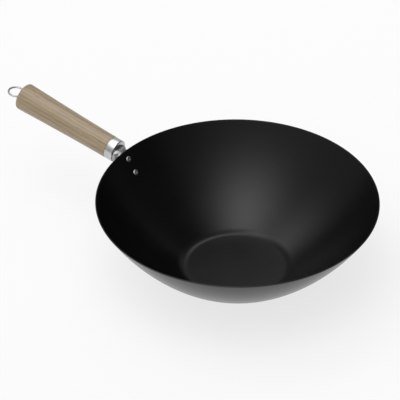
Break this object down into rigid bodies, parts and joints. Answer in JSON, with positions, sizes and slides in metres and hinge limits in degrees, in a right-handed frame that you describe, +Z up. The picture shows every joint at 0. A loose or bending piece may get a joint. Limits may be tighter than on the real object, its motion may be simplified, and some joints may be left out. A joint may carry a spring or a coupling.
{
  "type": "wok",
  "caption": "Flat-bottomed pressed steel wok with a flaring wall, a riveted handle bracket, a bright ferrule, a tapered wooden grip and a wire hanging loop.",
  "frame": {"origin": "middle of the flat base, on the surface that the wok stands on", "axes": "+Z up out of the bowl, -X along the handle, Y across it"},
  "size_m": [0.4605, 0.3002, 0.1236],
  "materials": {
    "black_coat": "satin",
    "bright_steel": "polished",
    "rivet_steel": "satin",
    "lacquered_wood": "satin"
  },
  "bodies": {
    "wok": {"wok_bowl": "black_coat", "handle_bracket": "bright_steel", "rivet_upper": "rivet_steel", "rivet_lower": "rivet_steel", "ferrule": "bright_steel", "handle_grip": "lacquered_wood", "rod_nut": "rivet_steel", "butt_washer": "bright_steel"},
    "tie_rod": {"tie_rod": "bright_steel"}
  },
  "joints": [
    {"name": "tie_rod_turn", "type": "hinge", "parent": "wok", "child": "tie_rod", "pos_m": [-0.28988, 0, 0.10848], "axis": [-0.9864, 0, 0.1642], "continuous": true}
  ]
}
